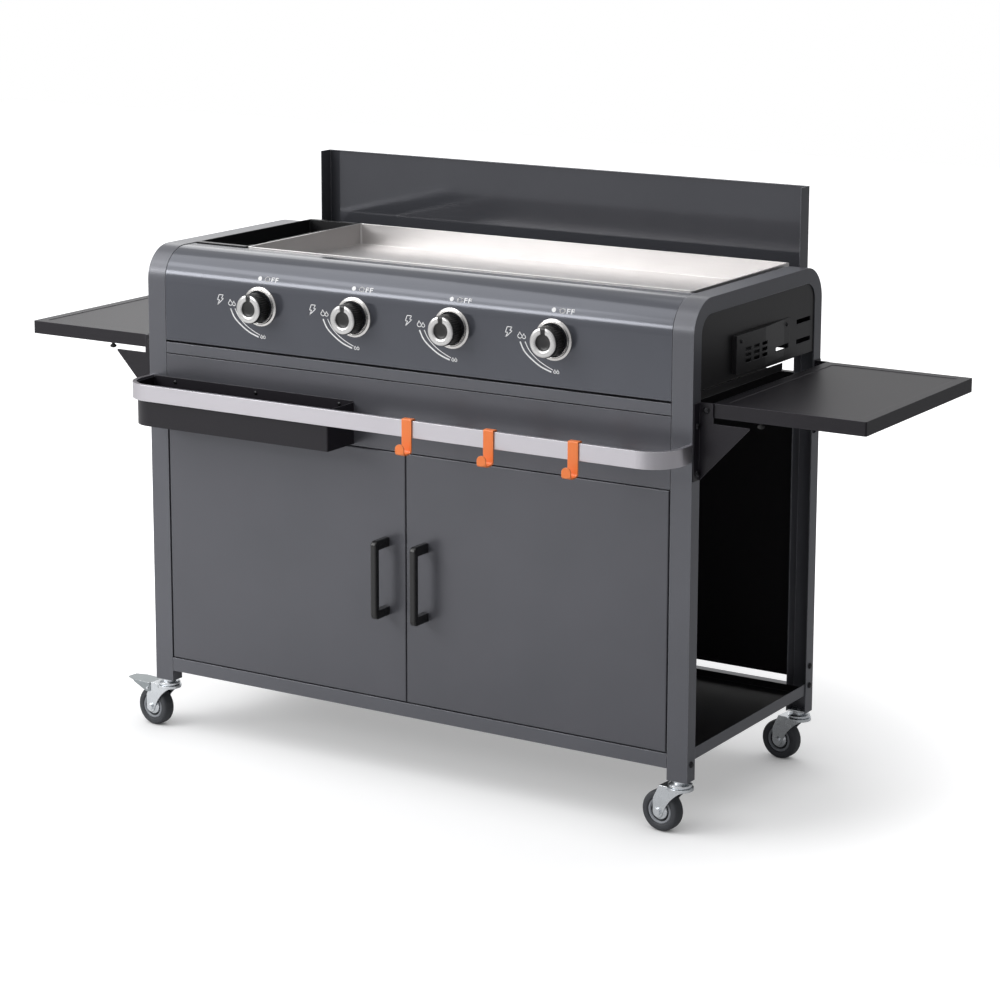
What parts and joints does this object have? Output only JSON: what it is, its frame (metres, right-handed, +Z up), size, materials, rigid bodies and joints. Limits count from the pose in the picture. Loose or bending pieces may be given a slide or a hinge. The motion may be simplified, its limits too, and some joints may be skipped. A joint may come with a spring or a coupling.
{
  "type": "gas griddle station",
  "caption": "Wheeled outdoor gas griddle cart: lift-out cooking plate, wind guard, knob panel, cabinet with doors, fold-down side shelves, towel bar with hooks and condiment tray.",
  "frame": {"origin": "on the ground, under the middle of the whole station", "axes": "+X to the right as the cook faces the knobs, +Y to the back, +Z up"},
  "size_m": [1.766, 0.642, 1.07],
  "materials": {
    "frame_paint": "semi-gloss metallic powder coat",
    "panel_paint": "semi-gloss metallic powder coat",
    "door_paint": "glossy metallic powder coat",
    "shelf_paint": "satin powder coat",
    "black_paint": "matt heat-resistant coat",
    "hook_paint": "satin powder coat",
    "plate_steel": "brushed",
    "tray_steel": "satin",
    "bar_metal": "satin anodised",
    "bezel_chrome": "polished",
    "zinc_steel": "zinc plated",
    "burner_steel": "dull",
    "valve_metal": "die cast",
    "ceramic": "glazed",
    "knob_plastic": "satin",
    "handle_plastic": "satin",
    "wheel_rubber": "matt",
    "black_rubber": "matt"
  },
  "bodies": {
    "station": {"left_hoop": "frame_paint", "right_hoop": "frame_paint", "control_panel": "panel_paint", "cross_strip": "frame_paint", "front_fascia": "panel_paint", "cross_rails": "frame_paint", "side_rails": "frame_paint", "bottom_shelf": "black_paint", "back_panel": "black_paint", "firebox": "black_paint", "vent_covers": "black_paint", "heat_shield": "black_paint", "backsplash": "panel_paint", "burner_tubes": "burner_steel", "gas_manifold": "burner_steel", "gas_valves": "valve_metal", "igniter_electrodes": "ceramic", "knob_bezels": "bezel_chrome", "towel_bar": "bar_metal", "condiment_tray": "shelf_paint", "shelf_brackets": "shelf_paint", "frame_bolts": "zinc_steel", "panel_screws": "zinc_steel", "caster_plates": "zinc_steel", "door_hinge_pins": "zinc_steel", "door_catch": "handle_plastic"},
    "plate": {"griddle_plate": "plate_steel", "plate_feet": "zinc_steel"},
    "grease_tray": {"grease_tray": "tray_steel"},
    "left_door": {"left_door": "door_paint", "left_handle": "handle_plastic"},
    "right_door": {"right_door": "door_paint", "right_handle": "handle_plastic"},
    "left_shelf": {"left_shelf": "shelf_paint", "left_shelf_buffers": "black_rubber"},
    "right_shelf": {"right_shelf": "shelf_paint", "right_shelf_buffers": "black_rubber"},
    "hook_1": {"hook_1": "hook_paint"},
    "hook_2": {"hook_2": "hook_paint"},
    "hook_3": {"hook_3": "hook_paint"},
    "valve_stem_1": {"valve_stem_1": "valve_metal"},
    "knob_1": {"knob_1": "knob_plastic"},
    "valve_stem_2": {"valve_stem_2": "valve_metal"},
    "knob_2": {"knob_2": "knob_plastic"},
    "valve_stem_3": {"valve_stem_3": "valve_metal"},
    "knob_3": {"knob_3": "knob_plastic"},
    "valve_stem_4": {"valve_stem_4": "valve_metal"},
    "knob_4": {"knob_4": "knob_plastic"},
    "caster_fork_1": {"caster_fork_1": "zinc_steel"},
    "caster_wheel_1": {"caster_wheel_1": "wheel_rubber"},
    "caster_fork_2": {"caster_fork_2": "zinc_steel"},
    "caster_wheel_2": {"caster_wheel_2": "wheel_rubber"},
    "caster_fork_3": {"caster_fork_3": "zinc_steel"},
    "caster_wheel_3": {"caster_wheel_3": "wheel_rubber"},
    "brake_pedal_1": {"brake_pedal_1": "zinc_steel"},
    "caster_fork_4": {"caster_fork_4": "zinc_steel"},
    "caster_wheel_4": {"caster_wheel_4": "wheel_rubber"},
    "brake_pedal_2": {"brake_pedal_2": "zinc_steel"}
  },
  "joints": [
    {"name": "plate_lift", "type": "slide", "parent": "station", "child": "plate", "axis": [0, 0, 1], "range_m": [0, 0.05]},
    {"name": "grease_tray_lift", "type": "slide", "parent": "station", "child": "grease_tray", "axis": [0, 0, 1], "range_m": [0, 0.06]},
    {"name": "hook_1_slide", "type": "slide", "parent": "station", "child": "hook_1", "axis": [1, 0, 0], "range_m": [-0.06, 0.06]},
    {"name": "hook_2_slide", "type": "slide", "parent": "station", "child": "hook_2", "axis": [1, 0, 0], "range_m": [-0.06, 0.06]},
    {"name": "hook_3_slide", "type": "slide", "parent": "station", "child": "hook_3", "axis": [1, 0, 0], "range_m": [-0.06, 0.06]},
    {"name": "left_door_hinge", "type": "hinge", "parent": "station", "child": "left_door", "pos_m": [-0.5185, -0.197, 0.378], "axis": [0, 0, -1], "range_deg": [0, 110]},
    {"name": "right_door_hinge", "type": "hinge", "parent": "station", "child": "right_door", "pos_m": [0.5185, -0.197, 0.378], "axis": [0, 0, 1], "range_deg": [0, 110]},
    {"name": "left_shelf_fold", "type": "hinge", "parent": "station", "child": "left_shelf", "pos_m": [-0.592, 0.039, 0.75075], "axis": [0, -1, 0], "range_deg": [0, 85]},
    {"name": "right_shelf_fold", "type": "hinge", "parent": "station", "child": "right_shelf", "pos_m": [0.592, 0.039, 0.75075], "axis": [0, 1, 0], "range_deg": [0, 85]},
    {"name": "knob_1_push", "type": "slide", "parent": "station", "child": "valve_stem_1", "axis": [0, 1, 0], "range_m": [0, 0.004], "stiffness_N_per_m": 2000, "springref_m": -0.002},
    {"name": "knob_1_turn", "type": "hinge", "parent": "valve_stem_1", "child": "knob_1", "pos_m": [-0.3175, -0.226, 0.846], "axis": [0, -1, 0], "range_deg": [0, 190]},
    {"name": "knob_2_push", "type": "slide", "parent": "station", "child": "valve_stem_2", "axis": [0, 1, 0], "range_m": [0, 0.004], "stiffness_N_per_m": 2000, "springref_m": -0.002},
    {"name": "knob_2_turn", "type": "hinge", "parent": "valve_stem_2", "child": "knob_2", "pos_m": [-0.1095, -0.226, 0.846], "axis": [0, -1, 0], "range_deg": [0, 190]},
    {"name": "knob_3_push", "type": "slide", "parent": "station", "child": "valve_stem_3", "axis": [0, 1, 0], "range_m": [0, 0.004], "stiffness_N_per_m": 2000, "springref_m": -0.002},
    {"name": "knob_3_turn", "type": "hinge", "parent": "valve_stem_3", "child": "knob_3", "pos_m": [0.0985, -0.226, 0.846], "axis": [0, -1, 0], "range_deg": [0, 190]},
    {"name": "knob_4_push", "type": "slide", "parent": "station", "child": "valve_stem_4", "axis": [0, 1, 0], "range_m": [0, 0.004], "stiffness_N_per_m": 2000, "springref_m": -0.002},
    {"name": "knob_4_turn", "type": "hinge", "parent": "valve_stem_4", "child": "knob_4", "pos_m": [0.3065, -0.226, 0.846], "axis": [0, -1, 0], "range_deg": [0, 190]},
    {"name": "caster_1_swivel", "type": "hinge", "parent": "station", "child": "caster_fork_1", "pos_m": [0.5575, -0.192, 0.092], "axis": [0, 0, 1], "continuous": true},
    {"name": "caster_1_roll", "type": "hinge", "parent": "caster_fork_1", "child": "caster_wheel_1", "pos_m": [0.5217, -0.18824, 0.037], "axis": [-0.1045, -0.9945, 0], "continuous": true},
    {"name": "caster_2_swivel", "type": "hinge", "parent": "station", "child": "caster_fork_2", "pos_m": [0.5575, 0.27, 0.092], "axis": [0, 0, 1], "continuous": true},
    {"name": "caster_2_roll", "type": "hinge", "parent": "caster_fork_2", "child": "caster_wheel_2", "pos_m": [0.5217, 0.27376, 0.037], "axis": [-0.1045, -0.9945, 0], "continuous": true},
    {"name": "caster_3_swivel", "type": "hinge", "parent": "station", "child": "caster_fork_3", "pos_m": [-0.5575, -0.192, 0.092], "axis": [0, 0, 1], "continuous": true},
    {"name": "caster_3_roll", "type": "hinge", "parent": "caster_fork_3", "child": "caster_wheel_3", "pos_m": [-0.5933, -0.18824, 0.037], "axis": [-0.1045, -0.9945, 0], "continuous": true},
    {"name": "brake_1_press", "type": "hinge", "parent": "caster_fork_3", "child": "brake_pedal_1", "pos_m": [-0.59828, -0.18771, 0.0745], "axis": [-0.1045, -0.9945, 0], "range_deg": [0, 15]},
    {"name": "caster_4_swivel", "type": "hinge", "parent": "station", "child": "caster_fork_4", "pos_m": [-0.5575, 0.27, 0.092], "axis": [0, 0, 1], "continuous": true},
    {"name": "caster_4_roll", "type": "hinge", "parent": "caster_fork_4", "child": "caster_wheel_4", "pos_m": [-0.5933, 0.27376, 0.037], "axis": [-0.1045, -0.9945, 0], "continuous": true},
    {"name": "brake_2_press", "type": "hinge", "parent": "caster_fork_4", "child": "brake_pedal_2", "pos_m": [-0.59828, 0.27429, 0.0745], "axis": [-0.1045, -0.9945, 0], "range_deg": [0, 15]}
  ]
}
